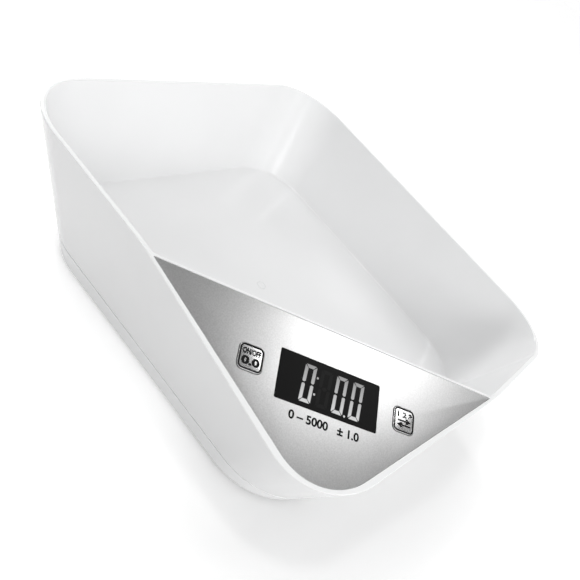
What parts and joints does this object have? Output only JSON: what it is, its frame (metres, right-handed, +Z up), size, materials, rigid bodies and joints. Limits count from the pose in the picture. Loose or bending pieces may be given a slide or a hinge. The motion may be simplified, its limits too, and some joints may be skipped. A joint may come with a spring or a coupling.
{
  "type": "digital kitchen scale",
  "caption": "Flared square weighing bowl on a low base, with a display and two keys on a sloping deck in its front corner.",
  "frame": {"origin": "centre of the square footprint, on the surface that the feet stand on", "axes": "+Z up; the four sides follow X and Y; the display corner is the one at -X, -Y"},
  "size_m": [0.2354, 0.2354, 0.0725],
  "materials": {
    "bowl_plastic": "glossy white ABS",
    "base_plastic": "white ABS, slightly less glossy underneath",
    "foot_rubber": "dark grey soft rubber",
    "bare_aluminium": "milled",
    "screw_steel": "zinc plated",
    "battery_shell": "plain printed sleeve without any words",
    "spring_steel": "nickel plated",
    "brushed_fascia": "finely brushed, satin",
    "display_window": "polished clear window over a dark display",
    "lcd_glass": "dark display glass",
    "black_plastic": "moulded black",
    "diffuser": "milky light guide",
    "strip_rubber": "layered conductive rubber",
    "circuit_board": "green solder mask",
    "key_chrome": "satin metallised plastic",
    "switch_plunger": "moulded white",
    "cable_sheath": "grey soft sheath"
  },
  "bodies": {
    "base": {"base_shell": "base_plastic", "foot_front": "foot_rubber", "foot_right": "foot_rubber", "foot_rear": "foot_rubber", "foot_left": "foot_rubber", "load_cell": "bare_aluminium", "load_cell_base_screw_1": "screw_steel", "load_cell_base_screw_2": "screw_steel", "battery_1": "battery_shell", "battery_2": "battery_shell", "battery_link_contact": "spring_steel", "battery_negative_contact": "spring_steel", "battery_positive_contact": "spring_steel"},
    "platform": {"bowl": "bowl_plastic", "load_cell_bowl_screw_1": "screw_steel", "load_cell_bowl_screw_2": "screw_steel", "fascia_panel": "brushed_fascia", "display_window": "display_window", "lcd_glass": "lcd_glass", "lcd_holder": "black_plastic", "backlight": "diffuser", "contact_strip": "strip_rubber", "circuit_board": "circuit_board", "controller_chip": "black_plastic", "board_screw_1": "screw_steel", "board_screw_2": "screw_steel", "board_screw_3": "screw_steel", "board_screw_4": "screw_steel", "zero_switch": "black_plastic", "unit_switch": "black_plastic", "load_cell_cable": "cable_sheath", "battery_leads": "cable_sheath"},
    "zero_button": {"zero_key": "key_chrome", "zero_switch_plunger": "switch_plunger"},
    "unit_button": {"unit_key": "key_chrome", "unit_switch_plunger": "switch_plunger"},
    "door": {"battery_door": "base_plastic"}
  },
  "joints": [
    {"name": "weighing_travel", "type": "slide", "parent": "base", "child": "platform", "axis": [0, 0, -1], "range_m": [0, 0.0004], "stiffness_N_per_m": 120000, "deforming": ["load_cell"]},
    {"name": "zero_key_press", "type": "slide", "parent": "platform", "child": "zero_button", "axis": [0.2405, 0.2405, -0.9404], "range_m": [0, 0.0006], "stiffness_N_per_m": 2000},
    {"name": "unit_key_press", "type": "slide", "parent": "platform", "child": "unit_button", "axis": [0.2405, 0.2405, -0.9404], "range_m": [0, 0.0006], "stiffness_N_per_m": 2000},
    {"name": "battery_door_hinge", "type": "hinge", "parent": "base", "child": "door", "pos_m": [-0.02725, -0.0465, 0.0018], "axis": [0, 1, 0], "range_deg": [0, 70]}
  ]
}
